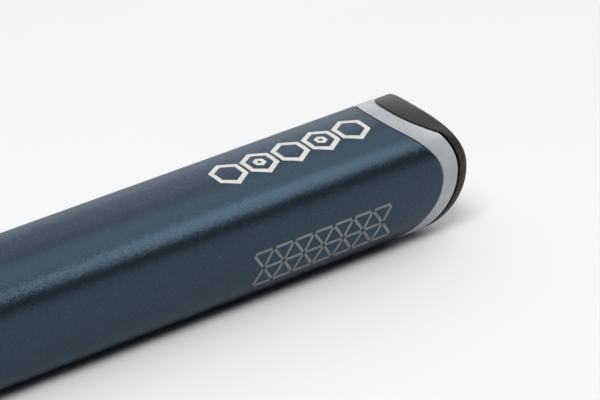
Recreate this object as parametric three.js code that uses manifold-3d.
// A slim 3D drawing pen: an anodised aluminium sleeve between a black grip nose and a translucent light ring
// with a black end cap, and the whole feed train, hot end and electronics inside it.
// Millimetres, +Z up. The pen lies on its flat underside along X: the nozzle points to -X, the end cap to +X.
// The origin is under the middle of the pen, on the surface that it lies on.
import * as THREE from "three";
import { mergeVertices } from "three/addons/utils/BufferGeometryUtils.js";
import Module from "manifold-3d";

const wasm = await Module();
wasm.setup();

// ---------------------------------------------------------------- driving dimensions
const LENGTH = 160;
const WIDTH = 17.5;
const FULL_HEIGHT = 19.5;
const BASE_FLAT = 0.2; // how much of the section's round underside is planed off
const SECTION_POWER = 2.87; // exponent of the superellipse that the section follows
const SECTION_STEPS = 56;
const AXIS_Z = FULL_HEIGHT / 2 - BASE_FLAT; // height of the section's centre
const HEIGHT = FULL_HEIGHT - BASE_FLAT;
const REAR_X = LENGTH / 2;
const TIP_X = -LENGTH / 2;

const WALL = 1.2; // aluminium sleeve
const SEAM = 0.15; // gap between neighbouring casings
const FIT = 0.25; // gap between a piece and the housing around it

// The strand's straight path from the end cap to the nozzle, and the gear train beside it.
const FEED_Z = AXIS_Z + 2.45;
const STRAND_BORE = 1.6; // radius of the path for a 3 mm strand
const GEAR_MODULE = 0.4;
const COLLAR_TEETH = 18;
const PINION_TEETH = 14;
const GEAR_CENTRES = (GEAR_MODULE * (COLLAR_TEETH + PINION_TEETH)) / 2;
const MOTOR_Z = FEED_Z - GEAR_CENTRES;
const GEAR_FRONT_X = -12;
const GEAR_WIDTH = 3.5;

// Side-view arcs that end the sleeve, the ring and the cap: x = apex - bow * (z - height)^2.
const SLEEVE_ARC = { apex: REAR_X - 4.85, bow: 0.0844, height: AXIS_Z + 0.6 };
const RING_ARC = { apex: REAR_X - 1.95, bow: 0.06, height: AXIS_Z + 1.1 };
const CAP_ARC = { apex: REAR_X, bow: 0.058, height: AXIS_Z + 1.1 };
const BEVEL_Z = AXIS_Z + 7.3; // above this the ring's rear edge runs forward in a straight line
const BEVEL_RUN = 1.95; // millimetres forward for each millimetre up
const RING_WALL = 1.6;

// Sleeve front and nose.
const SLEEVE_FRONT_X = -24;
const FRONT_ARC = { apex: SLEEVE_FRONT_X, bow: -0.03, height: AXIS_Z };
const NOSE_FRONT_X = -72;
const NOSE_TIP_RADIUS = 5.9;
const NOSE_TAPER_X = -32; // the full section narrows from here
const NOSE_WALL = 1.5;
const NOSE_SPLIT_Z = FEED_Z;

// Buttons on top of the nose.
const BUTTON_XS = { slow: -31.5, fast: -41.5 };
const BUTTON_LENGTH = 6.4;
const BUTTON_WIDTH = 4.2;
const BUTTON_PROUD = 0.7;
const BUTTON_TRAVEL = 0.8;
const BUTTON_BOARD_Z = 14.25;
const BUTTON_BOARD_THICK = 0.6;
const TACT_HEIGHT = 0.55;

// Mode switch on the left flank.
const SWITCH_X = 37;
const SWITCH_TRAVEL = 2;
const KNOB_LENGTH = 4;
const KNOB_HEIGHT = 2.6;

// Ports in the end cap's flat floor.
const PORT_FLOOR_X = REAR_X - 4.2;
const PORT_FLOOR_THICK = 1.6;
const SOCKET_Z = 6.2;
const SOCKET_BODY_RADIUS = 3.1;
const TRIMMER = { y: 3.6, z: FEED_Z + 1.5 };
const CAP_SCREWS = [
  { y: -4.3, z: 8 },
  { y: 4.3, z: 8 },
];

// ---------------------------------------------------------------- materials
const finish = (color, roughness, metalness) => new THREE.MeshStandardMaterial({ color, roughness, metalness });
const MATERIALS = {
  anodised: finish(0x2f4557, 0.38, 0.9),
  frosted: finish(0xb9bec6, 0.45, 0),
  blackPlastic: finish(0x262626, 0.6, 0),
  innerPlastic: finish(0x3c3c3e, 0.7, 0),
  steel: finish(0xb8babd, 0.3, 1),
  brass: finish(0xb8964e, 0.35, 1),
  aluminium: finish(0xc4c6c9, 0.4, 1),
  ceramic: finish(0xe9e6dc, 0.8, 0),
  tubing: finish(0xf1f1ee, 0.5, 0),
  board: finish(0x1f5a3a, 0.6, 0),
  chip: finish(0x1a1a1c, 0.5, 0),
  led: finish(0xf4f4e6, 0.3, 0),
  wire: finish(0x9c2f2a, 0.6, 0),
};

// ---------------------------------------------------------------- solids
// A closed geometry as a manifold-3d solid, and back again.
function solid(geometry) {
  const bare = geometry.index ? geometry.toNonIndexed() : geometry.clone();
  bare.deleteAttribute("normal");
  bare.deleteAttribute("uv");
  const merged = mergeVertices(bare, 1e-4);
  return new wasm.Manifold(
    new wasm.Mesh({
      numProp: 3,
      vertProperties: merged.attributes.position.array,
      triVerts: new Uint32Array(merged.index.array),
    }),
  );
}

function geometryOf(body) {
  const mesh = body.getMesh();
  const geometry = new THREE.BufferGeometry();
  geometry.setAttribute("position", new THREE.BufferAttribute(new Float32Array(mesh.vertProperties), 3));
  geometry.setIndex(new THREE.BufferAttribute(new Uint32Array(mesh.triVerts), 1));
  geometry.computeVertexNormals();
  return geometry;
}

const ALONG_X = new THREE.Matrix4().makeBasis(
  new THREE.Vector3(0, 1, 0),
  new THREE.Vector3(0, 0, 1),
  new THREE.Vector3(1, 0, 0),
);
const ALONG_Y = new THREE.Matrix4().makeBasis(
  new THREE.Vector3(1, 0, 0),
  new THREE.Vector3(0, 0, 1),
  new THREE.Vector3(0, -1, 0),
);

// A shape drawn in (y, z), extruded from x = from to x = to.
function extrudeX(shape, from, to) {
  const geometry = new THREE.ExtrudeGeometry(shape, { depth: to - from, bevelEnabled: false, curveSegments: 24 });
  return solid(geometry.applyMatrix4(ALONG_X).translate(from, 0, 0));
}

// A shape drawn in (x, z), extruded from y = low to y = high.
function extrudeY(shape, low, high, curveSegments = 24) {
  const geometry = new THREE.ExtrudeGeometry(shape, { depth: high - low, bevelEnabled: false, curveSegments });
  return solid(geometry.applyMatrix4(ALONG_Y).translate(0, high, 0));
}

// A shape drawn in (x, y), extruded from z = low to z = high.
function extrudeZ(shape, low, high) {
  const geometry = new THREE.ExtrudeGeometry(shape, { depth: high - low, bevelEnabled: false, curveSegments: 8 });
  return solid(geometry.translate(0, 0, low));
}

function box(x0, x1, y0, y1, z0, z1) {
  const geometry = new THREE.BoxGeometry(x1 - x0, y1 - y0, z1 - z0);
  return solid(geometry.translate((x0 + x1) / 2, (y0 + y1) / 2, (z0 + z1) / 2));
}

// A round bar along X.
function rod(x0, x1, radius, y = 0, z = 0, sides = 24) {
  const geometry = new THREE.CylinderGeometry(radius, radius, x1 - x0, sides);
  return solid(geometry.rotateZ(-Math.PI / 2).translate((x0 + x1) / 2, y, z));
}

// A tube along X.
function tube(x0, x1, outer, inner, sides = 24) {
  return rod(x0, x1, outer, 0, 0, sides).subtract(rod(x0 - 1, x1 + 1, inner, 0, 0, sides));
}

// A body turned about the X axis from [x, radius] pairs; the profile starts and ends on the axis or closes itself.
function turned(profile, sides = 24) {
  const points = profile.map(([x, radius]) => new THREE.Vector2(radius, x));
  const body = solid(new THREE.LatheGeometry(points, sides).rotateZ(-Math.PI / 2));
  return body.volume() < 0 ? solid(new THREE.LatheGeometry(points.reverse(), sides).rotateZ(-Math.PI / 2)) : body;
}

// An obround in the plane, long along its first axis, as a shape.
function obround(cx, cy, length, width) {
  const radius = width / 2;
  const reach = length / 2 - radius;
  const shape = new THREE.Shape();
  shape.absarc(cx + reach, cy, radius, -Math.PI / 2, Math.PI / 2, false);
  shape.absarc(cx - reach, cy, radius, Math.PI / 2, (3 * Math.PI) / 2, false);
  shape.closePath();
  return shape;
}

// ---------------------------------------------------------------- the pen's section
// A point of the superellipse at the direction (c, s) of a unit circle.
function superellipse(c, s, halfWidth, halfHeight, power) {
  const curve = (value) => Math.sign(value) * Math.pow(Math.abs(value), 2 / power);
  return [halfWidth * curve(c), halfHeight * curve(s)];
}

// The sleeve's outline, moved inwards by inset, as a shape in (y, z).
function sectionShape(inset, steps) {
  const points = [];
  for (let i = 0; i < steps; i++) {
    const angle = (2 * Math.PI * i) / steps;
    const [y, z] = superellipse(
      Math.cos(angle),
      Math.sin(angle),
      WIDTH / 2 - inset,
      FULL_HEIGHT / 2 - inset,
      SECTION_POWER,
    );
    points.push(new THREE.Vector2(y, Math.max(AXIS_Z + z, inset)));
  }
  return new THREE.Shape(points);
}

function section(inset, from, to, steps = SECTION_STEPS) {
  return extrudeX(sectionShape(inset, steps), from, to);
}

// Everything in front of a side-view arc, as a slab as wide as the pen. The parabola is one quadratic curve.
function inFrontOf(arc, shift = 0) {
  const reach = FULL_HEIGHT;
  const apex = arc.apex + shift;
  const drop = arc.bow * reach * reach;
  const shape = new THREE.Shape();
  shape.moveTo(apex - drop, arc.height - reach);
  shape.quadraticCurveTo(apex + drop, arc.height, apex - drop, arc.height + reach);
  shape.lineTo(-LENGTH, arc.height + reach);
  shape.lineTo(-LENGTH, arc.height - reach);
  shape.closePath();
  return extrudeY(shape, -WIDTH, WIDTH, 40);
}

const arcX = (arc, z) => arc.apex - arc.bow * (z - arc.height) ** 2;

// Everything that the ring's rear edge leaves in front of it: its arc, and the straight run above the bevel height.
function inFrontOfRing(shift = 0) {
  const start = arcX(RING_ARC, BEVEL_Z) + shift;
  const rise = HEIGHT - BEVEL_Z + 2;
  const wedge = new THREE.Shape();
  wedge.moveTo(start, BEVEL_Z);
  wedge.lineTo(start + LENGTH, BEVEL_Z);
  wedge.lineTo(start + LENGTH, BEVEL_Z + rise);
  wedge.lineTo(start - BEVEL_RUN * rise, BEVEL_Z + rise);
  wedge.closePath();
  return inFrontOf(RING_ARC, shift).subtract(extrudeY(wedge, -WIDTH, WIDTH));
}

// ---------------------------------------------------------------- sleeve, light ring and end cap
function bodySleeve() {
  const rear = inFrontOf(SLEEVE_ARC);
  const front = inFrontOf(FRONT_ARC);
  const outer = section(0, SLEEVE_FRONT_X - 6, REAR_X);
  const inner = section(WALL, SLEEVE_FRONT_X - 10, REAR_X + 1);
  const slotLength = KNOB_LENGTH + 2 * SWITCH_TRAVEL + 2 * FIT;
  const slot = extrudeY(obround(SWITCH_X, AXIS_Z, slotLength, KNOB_HEIGHT + 2 * FIT), WIDTH / 4, WIDTH);
  return outer.intersect(rear).subtract(front).subtract(inner).subtract(slot);
}

function lightRing() {
  const outer = section(0, REAR_X - 30, REAR_X);
  const inner = section(RING_WALL, REAR_X - 31, REAR_X + 1);
  return outer.intersect(inFrontOfRing()).subtract(inFrontOf(SLEEVE_ARC, SEAM)).subtract(inner);
}

// The cap's head closes the pen; its hollow spigot passes through the ring into the sleeve.
function rearCap() {
  const head = section(SEAM, REAR_X - 12, REAR_X).intersect(inFrontOf(CAP_ARC)).subtract(inFrontOfRing(SEAM));
  const spigot = section(RING_WALL + FIT, REAR_X - 16, REAR_X).intersect(inFrontOf(RING_ARC, 0.5));
  const cavity = section(RING_WALL + FIT + 0.9, REAR_X - 17, PORT_FLOOR_X - PORT_FLOOR_THICK);
  const pocketLow = 3.3;
  const pocketHigh = 17.2;
  const pocket = new THREE.Shape();
  const radius = 3.6;
  const half = 5.6;
  pocket.absarc(half - radius, pocketHigh - radius, radius, 0, Math.PI / 2, false);
  pocket.absarc(radius - half, pocketHigh - radius, radius, Math.PI / 2, Math.PI, false);
  pocket.absarc(radius - half, pocketLow + radius, radius, Math.PI, 1.5 * Math.PI, false);
  pocket.absarc(half - radius, pocketLow + radius, radius, 1.5 * Math.PI, 2 * Math.PI, false);
  pocket.closePath();
  let cap = head.add(spigot).subtract(cavity).subtract(extrudeX(pocket, PORT_FLOOR_X, REAR_X + 1));
  const holes = [
    rod(REAR_X - 20, REAR_X, 2.4, 0, FEED_Z),
    rod(REAR_X - 20, REAR_X, 2.8, 0, SOCKET_Z),
    rod(REAR_X - 20, REAR_X, 0.95, TRIMMER.y, TRIMMER.z, 16),
    ...CAP_SCREWS.map(({ y, z }) => rod(REAR_X - 20, REAR_X, 0.75, y, z, 12)),
  ];
  for (const hole of holes) cap = cap.subtract(hole);
  return cap;
}

// Funnel that leads the strand in. Local to the strand's axis.
function strandInlet() {
  const seat = PORT_FLOOR_X + 0.1;
  const face = seat + 0.6;
  return turned([
    [REAR_X - 8, 1.7],
    [REAR_X - 8, 2.2],
    [seat, 2.2],
    [seat, 2.7],
    [face, 2.7],
    [face, 2],
    [face - 1.4, 1.7],
    [REAR_X - 8, 1.7],
  ]);
}

// Barrel socket for the power plug. Local to the socket's axis.
function powerSocket() {
  const back = PORT_FLOOR_X - 10;
  const seat = PORT_FLOOR_X - PORT_FLOOR_THICK - 0.2;
  const bore = 1.9;
  return turned([
    [back, 0],
    [back, SOCKET_BODY_RADIUS],
    [seat, SOCKET_BODY_RADIUS],
    [seat, 2.6],
    [PORT_FLOOR_X, 2.6],
    [PORT_FLOOR_X, bore],
    [PORT_FLOOR_X - 7, bore],
    [PORT_FLOOR_X - 7, 0],
  ]);
}

function socketPin() {
  const root = PORT_FLOOR_X - 6.8;
  return turned([
    [root, 0],
    [root, 0.65],
    [PORT_FLOOR_X - 1.2, 0.65],
    [PORT_FLOOR_X - 0.8, 0.35],
    [PORT_FLOOR_X - 0.8, 0],
  ], 16);
}

// Screwdriver-turned trimmer: the slotted shaft turns in its body. Both local to the trimmer's axis.
function trimmerShaft() {
  const face = PORT_FLOOR_X - 0.3;
  const slot = box(face - 0.5, face + 1, -1, 1, -0.2, 0.2);
  return rod(PORT_FLOOR_X - 4, face, 0.75, 0, 0, 20).subtract(slot);
}

function trimmerBody() {
  const front = PORT_FLOOR_X - PORT_FLOOR_THICK - 0.2;
  const shell = box(front - 4, front, -1.15, 1.15, -1.15, 1.15);
  return shell.subtract(rod(PORT_FLOOR_X - 4.2, front + 1, 0.9, 0, 0, 20));
}

// Pan-head screw along X with a cross recess, its head seated at x = 0 and its shank towards -X.
function panScrew(headRadius, headHeight, shankRadius, shankLength) {
  const head = turned([
    [-shankLength, 0],
    [-shankLength, shankRadius * 0.6],
    [-shankLength + 0.5, shankRadius],
    [0, shankRadius],
    [0, headRadius],
    [headHeight * 0.55, headRadius],
    [headHeight, headRadius * 0.7],
    [headHeight, 0],
  ], 16);
  const arm = headRadius * 0.6;
  const width = headRadius * 0.14;
  const cut = box(headHeight * 0.4, headHeight + 1, -arm, arm, -width, width).add(
    box(headHeight * 0.4, headHeight + 1, -width, width, -arm, arm),
  );
  return head.subtract(cut);
}

function statusLed() {
  return box(0, 0.9, -1.6, 1.6, -0.8, 0.8).add(rod(0.5, 1.6, 0.7, 0, 0, 16));
}

// ---------------------------------------------------------------- nose
// The nose's outer form at a station x, moved inwards by inset: half width, half height, centre height and power.
function noseStation(x, inset) {
  const run = Math.min(1, Math.max(0, (x - NOSE_TAPER_X) / (NOSE_FRONT_X - NOSE_TAPER_X)));
  const taper = Math.pow(run, 1.35);
  const mix = THREE.MathUtils.lerp;
  return {
    halfWidth: mix(WIDTH / 2, NOSE_TIP_RADIUS, taper) - inset,
    halfHeight: mix(FULL_HEIGHT / 2, NOSE_TIP_RADIUS, taper) - inset,
    centre: mix(AXIS_Z, FEED_Z, taper),
    power: mix(SECTION_POWER, 2, taper),
    floor: mix(0, FEED_Z - NOSE_TIP_RADIUS, taper) + inset,
  };
}

// A closed body whose sections follow noseStation: a cylinder's vertices moved onto them.
function noseForm(inset, from, to, stations) {
  const geometry = new THREE.CylinderGeometry(1, 1, 1, SECTION_STEPS, stations);
  const position = geometry.attributes.position;
  for (let i = 0; i < position.count; i++) {
    const s = position.getX(i);
    const c = position.getZ(i);
    const x = THREE.MathUtils.lerp(from, to, position.getY(i) + 0.5);
    const rim = Math.hypot(c, s);
    const { halfWidth, halfHeight, centre, power, floor } = noseStation(x, inset);
    const [y, z] = superellipse(c, s, halfWidth, halfHeight, power);
    position.setXYZ(i, x, rim < 0.5 ? 0 : y, rim < 0.5 ? centre : Math.max(centre + z, floor));
  }
  return solid(geometry);
}

function noseTopZ(x) {
  const { centre, halfHeight } = noseStation(x, 0);
  return centre + halfHeight;
}

// The nose's wall before it is split: the tapered tube and the lip that slides into the sleeve.
function noseTube() {
  const outer = noseForm(0, NOSE_FRONT_X, SLEEVE_FRONT_X + 4, 12).intersect(inFrontOf(FRONT_ARC, -SEAM));
  const lip = section(WALL + FIT, SLEEVE_FRONT_X - 3, SLEEVE_FRONT_X + 4);
  const inner = noseForm(NOSE_WALL, NOSE_FRONT_X - 1, SLEEVE_FRONT_X - 3.2, 7);
  const throat = section(WALL + FIT + 1.2, SLEEVE_FRONT_X - 9, SLEEVE_FRONT_X + 5);
  return outer.add(lip).subtract(inner).subtract(throat);
}

const HATCH = { x: -46, length: 15, width: 7.6 };

const hatchOutline = (gap) => obround(HATCH.x, 0, HATCH.length - 2 * gap, HATCH.width - 2 * gap);

function noseUpper(wall) {
  let shell = wall.intersect(box(NOSE_FRONT_X - 2, 0, -WIDTH, WIDTH, NOSE_SPLIT_Z + SEAM / 2, HEIGHT + 5));
  for (const x of Object.values(BUTTON_XS)) {
    const opening = obround(x, 0, BUTTON_LENGTH + 2 * FIT, BUTTON_WIDTH + 2 * FIT);
    shell = shell.subtract(extrudeZ(opening, FEED_Z + 2, HEIGHT + 2));
  }
  return shell;
}

// Slanted air slots in a row that steps down towards the sleeve.
const VENTS = { count: 4, x: -62, pitch: 3.4, low: 7.6, drop: 0.45, height: 3.2, width: 1.1, slant: 1.6 };

function ventOutline(index) {
  const { x, pitch, low, drop, height, width, slant } = VENTS;
  const start = x + pitch * index;
  const bottom = low - drop * index;
  const slot = new THREE.Shape();
  slot.moveTo(start, bottom);
  slot.lineTo(start + width, bottom);
  slot.lineTo(start + width + slant, bottom + height);
  slot.lineTo(start + slant, bottom + height);
  slot.closePath();
  return slot;
}

// Air slots through each cheek, and the hatch opening in the underside.
function noseLower(wall) {
  let shell = wall.intersect(box(NOSE_FRONT_X - 2, 0, -WIDTH, WIDTH, -1, NOSE_SPLIT_Z - SEAM / 2));
  shell = shell.subtract(extrudeZ(hatchOutline(0), -2, FEED_Z - 5));
  for (let i = 0; i < VENTS.count; i++) {
    shell = shell.subtract(extrudeY(ventOutline(i), -WIDTH, WIDTH));
  }
  return shell;
}

function maintenanceCover(wall) {
  return wall.intersect(extrudeZ(hatchOutline(0.2), -2, FEED_Z - 5));
}

// Local to the strand's axis.
function noseCollar() {
  const back = NOSE_FRONT_X - 0.2;
  return turned([
    [back, 4.5],
    [back, NOSE_TIP_RADIUS],
    [back - 1.1, NOSE_TIP_RADIUS - 0.1],
    [back - 1.7, NOSE_TIP_RADIUS - 0.8],
    [back - 1.7, 4.5],
    [back, 4.5],
  ], 40);
}

// Button: a crowned obround with a retaining flange, local to its own centre in x, absolute in z.
function button(x) {
  const top = noseTopZ(x);
  const inside = top - NOSE_WALL;
  const stem = extrudeZ(obround(0, 0, BUTTON_LENGTH, BUTTON_WIDTH), inside - 1.2, top + BUTTON_PROUD - 0.5);
  const crown = extrudeZ(obround(0, 0, BUTTON_LENGTH - 0.7, BUTTON_WIDTH - 0.7), inside, top + BUTTON_PROUD);
  const flangeTop = inside - 0.45;
  const flange = extrudeZ(obround(0, 0, BUTTON_LENGTH + 1.2, BUTTON_WIDTH + 1), flangeTop - 0.75, flangeTop);
  return stem.add(crown).add(flange);
}

const BUTTON_BOARD_TOP = BUTTON_BOARD_Z + BUTTON_BOARD_THICK;

function tactSwitch(x) {
  const top = noseTopZ(x) - NOSE_WALL - 1.2 - BUTTON_TRAVEL - 0.05;
  const body = box(-1.7, 1.7, -1.7, 1.7, BUTTON_BOARD_TOP + 0.02, BUTTON_BOARD_TOP + TACT_HEIGHT);
  const plunger = new THREE.CylinderGeometry(0.9, 0.9, top - BUTTON_BOARD_TOP - 0.3, 16);
  return body.add(solid(plunger.rotateX(Math.PI / 2).translate(0, 0, (top + BUTTON_BOARD_TOP + 0.3) / 2)));
}

// ---------------------------------------------------------------- hot end, all local to the strand's axis
function nozzle() {
  const seat = TIP_X + 5.6;
  const profile = turned([
    [TIP_X, 0.35],
    [TIP_X, 0.8],
    [TIP_X + 2.9, 2.1],
    [seat, 2.3],
    [seat + 4.2, 1.9],
    [seat + 4.2, 1.5],
    [TIP_X + 1.6, 1.4],
    [TIP_X + 0.9, 0.35],
    [TIP_X, 0.35],
  ]);
  const acrossFlats = 5;
  const hex = new THREE.CylinderGeometry(acrossFlats / Math.sqrt(3), acrossFlats / Math.sqrt(3), 2.6, 6);
  const nut = solid(hex.rotateZ(-Math.PI / 2).translate(TIP_X + 4.2, 0, 0));
  return profile.add(nut.subtract(rod(TIP_X, 0, 1.45)));
}

function heaterBlock() {
  const front = TIP_X + 5.9;
  const back = -62;
  return rod(front, back, 2.9).subtract(rod(front - 1, front + 4.4, 2.5)).subtract(rod(front, back + 1, STRAND_BORE));
}

const heaterCoil = () => tube(-72.5, -63, 3.6, 3.05);

const insulationSleeve = () => tube(-73.2, -60.5, 4.3, 3.8);

function temperatureSensor() {
  return rod(-61.6, -58.8, 0.6, 0, 2.95, 12);
}

const heatBreak = () => tube(-61.8, -55, 2.1, STRAND_BORE);

function heatSink() {
  const front = -54.7;
  const pitch = 1.4;
  const profile = [[front, STRAND_BORE]];
  for (let i = 0; i < 5; i++) {
    const x = front + i * pitch;
    profile.push([x, 4], [x + 0.7, 4], [x + 0.7, 2.8], [x + pitch, 2.8]);
  }
  profile.push([front + 5 * pitch, STRAND_BORE], [front, STRAND_BORE]);
  return turned(profile);
}

// ---------------------------------------------------------------- feed train
// Outline of an involute spur gear about the origin, with a tooth centred on the direction `phase`.
function gearShape(teeth, phase) {
  const pitchRadius = (GEAR_MODULE * teeth) / 2;
  const pressure = THREE.MathUtils.degToRad(20);
  const baseRadius = pitchRadius * Math.cos(pressure);
  const tipRadius = pitchRadius + 0.85 * GEAR_MODULE;
  const rootRadius = pitchRadius - 1.15 * GEAR_MODULE;
  const involute = (angle) => Math.tan(angle) - angle;
  const thin = 0.82; // tooth thickness as a share of half the pitch, which leaves backlash
  const halfTooth = (Math.PI / (2 * teeth)) * thin;
  const spread = (radius) => {
    const angle = Math.acos(Math.min(1, baseRadius / radius));
    return halfTooth + involute(pressure) - involute(angle);
  };
  const flank = [rootRadius, Math.max(baseRadius, rootRadius + 0.05), (pitchRadius + tipRadius) / 2, tipRadius];
  const points = [];
  for (let i = 0; i < teeth; i++) {
    const middle = phase + (2 * Math.PI * i) / teeth;
    const place = (radius, side) => {
      const angle = middle + side * spread(radius);
      points.push(new THREE.Vector2(radius * Math.cos(angle), radius * Math.sin(angle)));
    };
    for (const radius of flank) place(radius, -1);
    for (const radius of [...flank].reverse()) place(radius, 1);
  }
  return new THREE.Shape(points);
}

// The collar's gear has a tooth pointing down at the pinion, whose tooth gap points up at it.
function collarGear() {
  const wheel = extrudeX(gearShape(COLLAR_TEETH, -Math.PI / 2), 0, GEAR_WIDTH);
  return wheel.subtract(rod(-1, GEAR_WIDTH + 1, 2.55));
}

function motorPinion() {
  const wheel = extrudeX(gearShape(PINION_TEETH, Math.PI / 2 + Math.PI / PINION_TEETH), 0, GEAR_WIDTH);
  return wheel.subtract(rod(-1, GEAR_WIDTH + 1, 0.95, 0, 0, 16));
}

// Hollow collar whose inner thread bites into the strand and drives it forward as the collar turns.
function driveCollar() {
  const front = -18;
  const back = -5;
  const pitch = 1.9;
  const profile = [
    [front, 1.75],
    [front, 2.35],
    [back, 2.35],
    [back, 1.75],
  ];
  for (let i = 0; i < 6; i++) {
    const x = back - 1 - pitch * i;
    profile.push([x, 1.75], [x - 0.3, 1.5], [x - 0.6, 1.75]);
  }
  profile.push([front, 1.75]);
  return turned(profile, 20);
}

const collarBearing = () => tube(0, 2, 3.95, 2.55, 32);

const motorShaft = () => rod(-12.4, -5.3, 0.75, 0, 0, 16);

function gearbox() {
  const body = rod(-5, 7, 4, 0, 0, 32);
  return body.subtract(rod(-6, -3, 1, 0, 0, 16));
}

function feedMotor() {
  const can = rod(7.2, 24, 4, 0, 0, 32).intersect(box(0, 30, -5, 5, -5, 5));
  return can.add(rod(23, 24.8, 1.6, 0, 0, 16));
}

const rearGuide = () => tube(-4.7, REAR_X - 8.3, 2, STRAND_BORE);

const frontGuide = () => tube(-47.4, -18.3, 2, STRAND_BORE);

// ---------------------------------------------------------------- cooling fan, local to its own axis
const FAN = { x: -31, y: 0, z: 5.8, side: 7.4, depth: 3 };

function fanFrame() {
  const half = FAN.side / 2;
  let frame = box(0, FAN.depth, -half, half, -half, half).subtract(rod(0.5, FAN.depth + 1, 3.35, 0, 0, 28));
  const opening = rod(-1, 1, 3.35, 0, 0, 28).subtract(rod(-1, 1, 1.5, 0, 0, 20));
  const spoke = box(-0.1, 0.5, -0.35, 0.35, 0, 4);
  let window = opening;
  for (let i = 0; i < 3; i++) window = window.subtract(spoke.rotate([120 * i, 0, 0]));
  frame = frame.subtract(window);
  return frame;
}

function fanRotor() {
  let rotor = rod(0.75, FAN.depth - 0.1, 1.4, 0, 0, 20);
  for (let i = 0; i < 7; i++) {
    const blade = box(0.85, FAN.depth - 0.3, -0.14, 0.14, 1, 3.05);
    rotor = rotor.add(blade.translate([-1.8, 0, 0]).rotate([0, 0, 28]).translate([1.8, 0, 0]).rotate([(360 * i) / 7, 0, 0]));
  }
  return rotor;
}

// ---------------------------------------------------------------- chassis and electronics
const BOARD = { x0: 4, x1: 57, halfWidth: 5, z0: 15.95, thick: 1 };
const LEAD_Y = 5.4;

function chassis() {
  const plates = [
    [-17.2, -14.2],
    [-7.9, -5.25],
    [26, 28],
    [44, 46],
    [58.4, 60.4],
  ];
  let body = null;
  for (const [from, to] of plates) {
    const plate = section(WALL + FIT, from, to, 32);
    body = body ? body.add(plate) : plate;
  }
  for (const side of [-1, 1]) {
    const y0 = side > 0 ? 4.4 : -5.8;
    body = body.add(box(-17.2, 60.4, y0, y0 + 1.4, 3.2, 6));
  }
  for (const { y, z } of CAP_SCREWS) {
    body = body.add(rod(60, PORT_FLOOR_X - PORT_FLOOR_THICK - 0.2, 1.15, y, z, 16));
    body = body.subtract(rod(68, REAR_X, 0.7, y, z, 12));
  }
  const low = AXIS_Z - FULL_HEIGHT / 2;
  const cuts = [
    rod(-30, 0, 2.65, 0, FEED_Z),
    rod(0, 70, 2.25, 0, FEED_Z),
    rod(-16.6, -14, 4.15, 0, FEED_Z, 32),
    rod(-7.3, -5, 4.15, 0, FEED_Z, 32),
    rod(-30, 0, 1.1, 0, MOTOR_Z, 16),
    box(BOARD.x0 - 1, BOARD.x1 + 0.3, -BOARD.halfWidth - 0.3, BOARD.halfWidth + 0.3, BOARD.z0 - 0.3, HEIGHT),
    rod(-30, 20, 0.9, LEAD_Y, FEED_Z, 12),
    box(20, 70, -2.2, 2.2, low, 6.6),
  ];
  for (const cut of cuts) body = body.subtract(cut);
  return body;
}

function mainBoard() {
  return box(BOARD.x0, BOARD.x1, -BOARD.halfWidth, BOARD.halfWidth, BOARD.z0, BOARD.z0 + BOARD.thick);
}

function switchKnob() {
  const outer = WIDTH / 2 - 0.15;
  const inner = WIDTH / 2 - WALL - 0.9;
  let knob = extrudeY(obround(0, 0, KNOB_LENGTH, KNOB_HEIGHT), inner, outer, 8);
  knob = knob.add(box(-KNOB_LENGTH / 2 - 0.8, KNOB_LENGTH / 2 + 0.8, inner - 0.4, inner + 0.2, -1.9, 1.9));
  for (const x of [-1, 0, 1]) knob = knob.subtract(box(x - 0.22, x + 0.22, outer - 0.3, outer + 1, -2, 2));
  return knob;
}

// A wire along a smooth curve through the given points.
function lead(points, radius) {
  const path = new THREE.CatmullRomCurve3(points.map(([x, y, z]) => new THREE.Vector3(x, y, z)));
  const shape = new THREE.Shape().absarc(0, 0, radius, 0, 2 * Math.PI, false);
  return solid(new THREE.ExtrudeGeometry(shape, { steps: 4 * points.length, extrudePath: path, curveSegments: 5 }));
}

// ---------------------------------------------------------------- assembly
const pen = new THREE.Group();

function group(x = 0, y = 0, z = 0) {
  const made = new THREE.Group();
  made.position.set(x, y, z);
  pen.add(made);
  return made;
}

function add(parent, name, body, material, x = 0, y = 0, z = 0) {
  const mesh = new THREE.Mesh(geometryOf(body), material);
  mesh.name = name;
  mesh.position.set(x, y, z);
  parent.add(mesh);
  return mesh;
}

const M = MATERIALS;

const casing = group();
add(casing, "body_sleeve", bodySleeve(), M.anodised);
add(casing, "light_ring", lightRing(), M.frosted);
add(casing, "rear_cap", rearCap(), M.blackPlastic);

const noseWall = noseTube();
add(casing, "nose_upper_shell", noseUpper(noseWall), M.blackPlastic);
add(casing, "nose_lower_shell", noseLower(noseWall), M.blackPlastic);
add(casing, "maintenance_cover", maintenanceCover(noseWall), M.blackPlastic);

const rearPorts = group();
add(rearPorts, "strand_inlet", strandInlet(), M.steel, 0, 0, FEED_Z);
add(rearPorts, "power_socket", powerSocket(), M.blackPlastic, 0, 0, SOCKET_Z);
add(rearPorts, "power_socket_pin", socketPin(), M.brass, 0, 0, SOCKET_Z);
add(rearPorts, "temperature_trimmer_shaft", trimmerShaft(), M.brass, 0, TRIMMER.y, TRIMMER.z);
add(rearPorts, "temperature_trimmer_body", trimmerBody(), M.innerPlastic, 0, TRIMMER.y, TRIMMER.z);
CAP_SCREWS.forEach(({ y, z }, i) => {
  add(rearPorts, `cap_screw_${i + 1}`, panScrew(1.05, 0.7, 0.5, 5), M.steel, PORT_FLOOR_X + 0.1, y, z);
});

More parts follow.
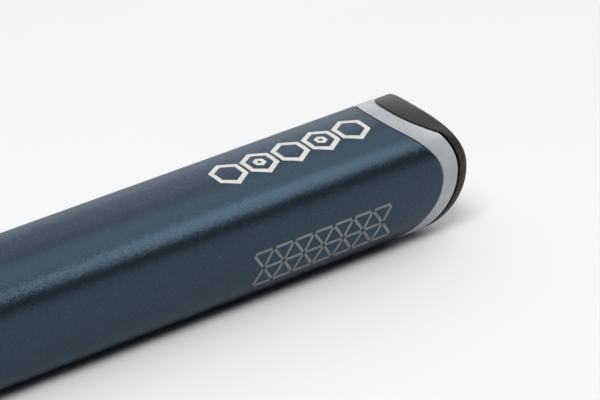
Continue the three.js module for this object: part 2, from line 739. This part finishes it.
const strandAxis = group(0, 0, FEED_Z);
add(strandAxis, "nose_collar", noseCollar(), M.steel);
add(strandAxis, "nozzle", nozzle(), M.brass);
add(strandAxis, "heater_block", heaterBlock(), M.aluminium);
add(strandAxis, "heater_coil", heaterCoil(), M.ceramic);
add(strandAxis, "insulation_sleeve", insulationSleeve(), M.ceramic);
add(strandAxis, "temperature_sensor", temperatureSensor(), M.steel);
add(strandAxis, "heat_break", heatBreak(), M.steel);
add(strandAxis, "heat_sink", heatSink(), M.aluminium);
add(strandAxis, "front_guide_tube", frontGuide(), M.tubing);
add(strandAxis, "rear_guide_tube", rearGuide(), M.tubing);
add(strandAxis, "drive_collar", driveCollar(), M.steel);
add(strandAxis, "collar_gear", collarGear(), M.brass, GEAR_FRONT_X);
add(strandAxis, "front_collar_bearing", collarBearing(), M.steel, -16.5);
add(strandAxis, "rear_collar_bearing", collarBearing(), M.steel, -7.25);

const motorAxis = group(0, 0, MOTOR_Z);
add(motorAxis, "motor_pinion", motorPinion(), M.brass, GEAR_FRONT_X);
add(motorAxis, "motor_shaft", motorShaft(), M.steel);
add(motorAxis, "gearbox", gearbox(), M.steel);
add(motorAxis, "feed_motor", feedMotor(), M.steel);

const fan = group(FAN.x, FAN.y, FAN.z);
add(fan, "fan_frame", fanFrame(), M.blackPlastic);
add(fan, "fan_rotor", fanRotor(), M.innerPlastic);

const controls = group();
for (const [speed, x] of Object.entries(BUTTON_XS)) {
  add(controls, `${speed}_button`, button(x), M.innerPlastic, x);
  add(controls, `${speed}_button_switch`, tactSwitch(x), M.chip, x);
}
const buttonBoard = box(-45.5, -27.5, -4.2, 4.2, BUTTON_BOARD_Z, BUTTON_BOARD_TOP);
add(controls, "button_board", buttonBoard, M.board);
add(controls, "mode_switch_knob", switchKnob(), M.blackPlastic, SWITCH_X, 0, AXIS_Z);
add(controls, "mode_switch_body", box(-4.6, 4.6, -1.6, 1.2, -2.1, 2.1), M.steel, SWITCH_X, 4.6, AXIS_Z);

const electronics = group();
add(electronics, "chassis", chassis(), M.innerPlastic);
add(electronics, "main_board", mainBoard(), M.board);
add(electronics, "processor_chip", box(-2.5, 2.5, -2.5, 2.5, 0, 0.75), M.chip, 20, 0, BOARD.z0 + BOARD.thick + 0.05);
add(electronics, "motor_driver_chip", box(-2, 2, -1.5, 1.5, 0, 0.75), M.chip, 10, 0, BOARD.z0 + BOARD.thick + 0.05);
add(electronics, "capacitor", rod(-3, 3, 1.2, 0, 0, 16), M.aluminium, 51, -3.6, 14.6);
add(electronics, "wire_connector", box(-2, 2, -1.5, 1.5, -1.6, 0), M.tubing, 34, -3.4, BOARD.z0 - 0.05);
add(electronics, "led_board", box(61, 61.8, -3.4, 3.4, 14.4, 17.2), M.board);
add(electronics, "status_led", statusLed(), M.led, 61.85, 0, 15.9);

const heaterRoute = [
  [-60.2, 3.2, FEED_Z],
  [-55, 4.8, FEED_Z - 0.4],
  [-40, LEAD_Y, FEED_Z - 0.6],
  [-20, LEAD_Y, FEED_Z],
  [-4, LEAD_Y, FEED_Z],
  [1, 4.9, FEED_Z + 1],
  [5.5, 4.1, FEED_Z + 2.6],
];
add(electronics, "heater_leads", lead(heaterRoute, 0.5), M.wire);
const motorRoute = [
  [25.2, 0, MOTOR_Z],
  [27.5, -0.2, MOTOR_Z - 1.6],
  [31, -0.8, MOTOR_Z],
  [32.5, -2.9, MOTOR_Z + 5],
  [33.4, -3.3, MOTOR_Z + 8],
];
add(electronics, "motor_leads", lead(motorRoute, 0.45), M.wire);

export default pen;
